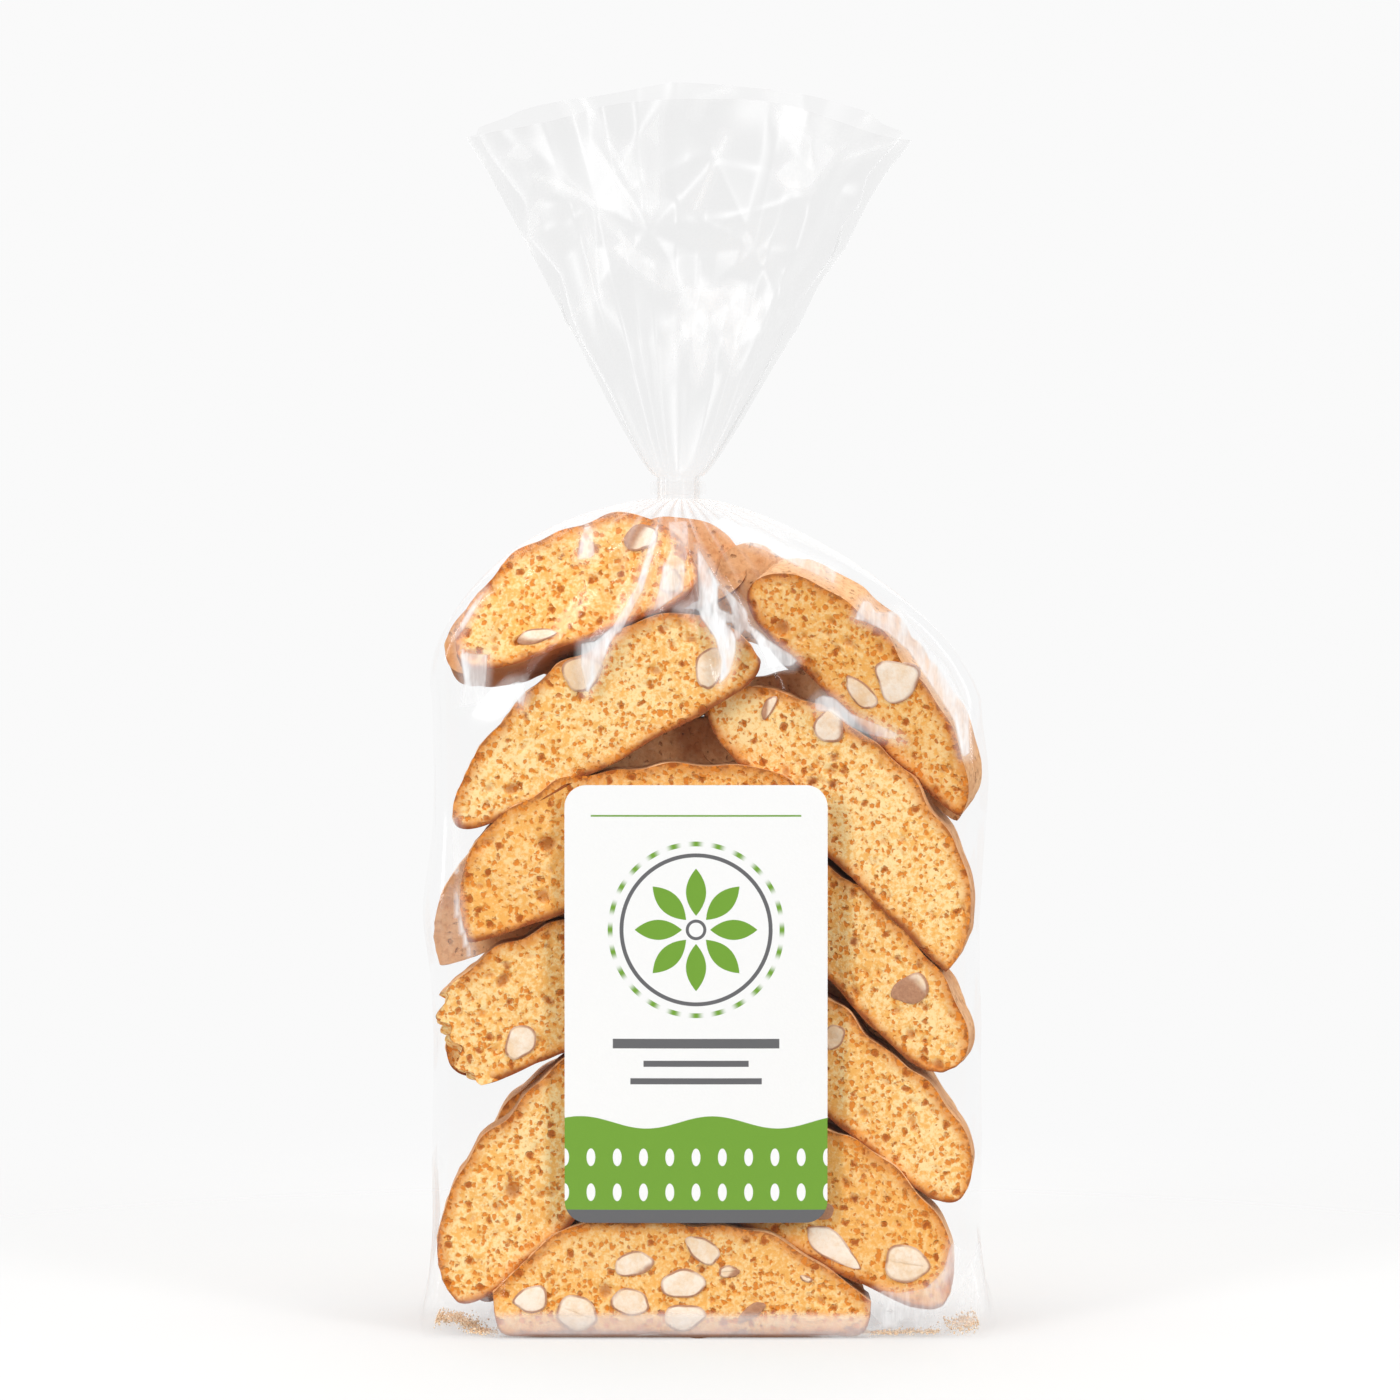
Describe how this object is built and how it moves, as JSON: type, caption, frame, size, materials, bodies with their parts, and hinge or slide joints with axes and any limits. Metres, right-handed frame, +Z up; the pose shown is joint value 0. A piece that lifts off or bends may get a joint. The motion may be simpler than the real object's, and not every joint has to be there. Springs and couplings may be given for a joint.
{
  "type": "bag of almond biscuits",
  "caption": "Tied clear bag of sliced almond biscuits that stands on its flat base, with a gathered neck, a fan of loose film above it and a paper label on the front.",
  "frame": {"origin": "middle of the pack's footprint, on the surface that it stands on", "axes": "+Z up, the label faces -Y, +X to the right as the label is read"},
  "size_m": [0.129, 0.0666, 0.288],
  "materials": {
    "filled_bag": "clear glossy film over golden biscuits",
    "label_paper": "smooth white paper with a satin face",
    "tie_plastic": "milky plastic",
    "clear_film": "clear glossy film",
    "biscuit": "dry baked crumb with a browned crust",
    "almond": "cut almond with a thin brown skin"
  },
  "bodies": {
    "root": {"bag": "filled_bag", "label": "label_paper", "tie": "tie_plastic"}
  },
  "joints": []
}
